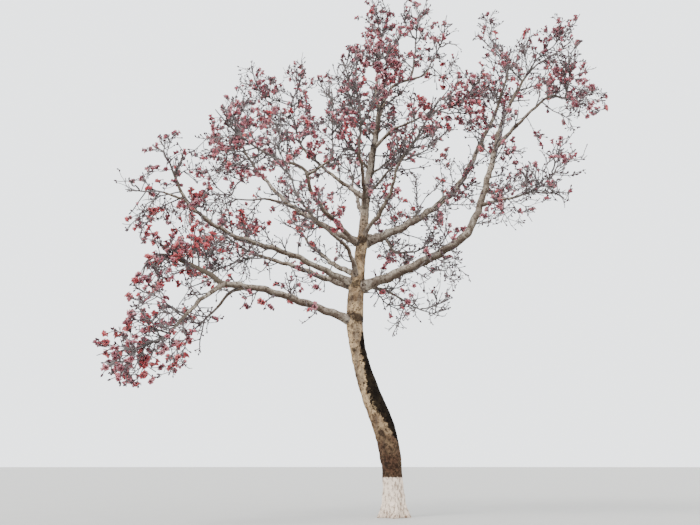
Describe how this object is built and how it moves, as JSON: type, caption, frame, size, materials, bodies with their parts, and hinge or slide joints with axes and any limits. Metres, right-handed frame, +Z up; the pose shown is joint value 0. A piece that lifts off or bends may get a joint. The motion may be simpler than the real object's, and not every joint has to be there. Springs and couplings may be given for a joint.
{
  "type": "red silk cotton tree",
  "caption": "Leafless red silk cotton tree in blossom, with a leaning trunk, a low root flare, spreading boughs and masses of twigs; it is fixed at the flat cut under its trunk.",
  "frame": {"origin": "middle of the flat cut under the trunk, at ground level", "axes": "+Z up, +X to the viewer's right and +Y away from the viewer"},
  "size_m": [17.6778, 12.2969, 21.1775],
  "materials": {
    "bark": "rough bark",
    "blossom": "soft petals"
  },
  "bodies": {
    "root": {"trunk": "bark", "bough_right": "bark", "bough_right_upright": "bark", "bough_mid_right": "bark", "bough_low_left": "bark", "bough_mid_left": "bark", "bough_left": "bark", "bough_left_back": "bark", "bough_back_left": "bark", "bough_back_right": "bark", "bough_back": "bark", "bough_front_left": "bark", "bough_mid_front_left": "bark", "bough_mid_front_fork": "bark", "bough_front_right": "bark", "bough_high_left": "bark", "bough_front": "bark", "bough_top_right": "bark", "bough_far_right": "bark", "bough_right_low": "bark", "bough_low_drooping": "bark", "bough_low_back": "bark", "bough_left_outer": "bark", "bough_mid_left_low": "bark", "leader_left": "bark", "leader_right": "bark", "leader_far_right": "bark", "twigs_right_upright": "blossom", "twigs_mid_right": "blossom", "twigs_low_left": "blossom", "twigs_mid_left": "blossom", "twigs_left": "blossom", "twigs_left_back": "blossom", "twigs_back_left": "blossom", "twigs_back_right": "blossom", "twigs_back": "blossom", "twigs_front_left": "blossom", "twigs_mid_front_left": "blossom", "twigs_mid_front_fork": "blossom", "twigs_front_right": "blossom", "twigs_high_left": "blossom", "twigs_front": "blossom", "twigs_top_right": "blossom", "twigs_far_right": "blossom", "twigs_right_low": "blossom", "twigs_low_drooping": "blossom", "twigs_low_back": "blossom", "twigs_left_outer": "blossom", "twigs_mid_left_low": "blossom", "twigs_leader_left": "blossom", "twigs_leader_right": "blossom", "twigs_leader_far_right": "blossom", "twigs_right_drooping": "blossom", "twigs_high_right": "blossom", "twigs_high_back": "blossom", "twigs_high_front": "blossom", "twigs_top_left": "blossom", "twigs_top_back": "blossom", "twigs_top_front": "blossom"}
  },
  "joints": []
}
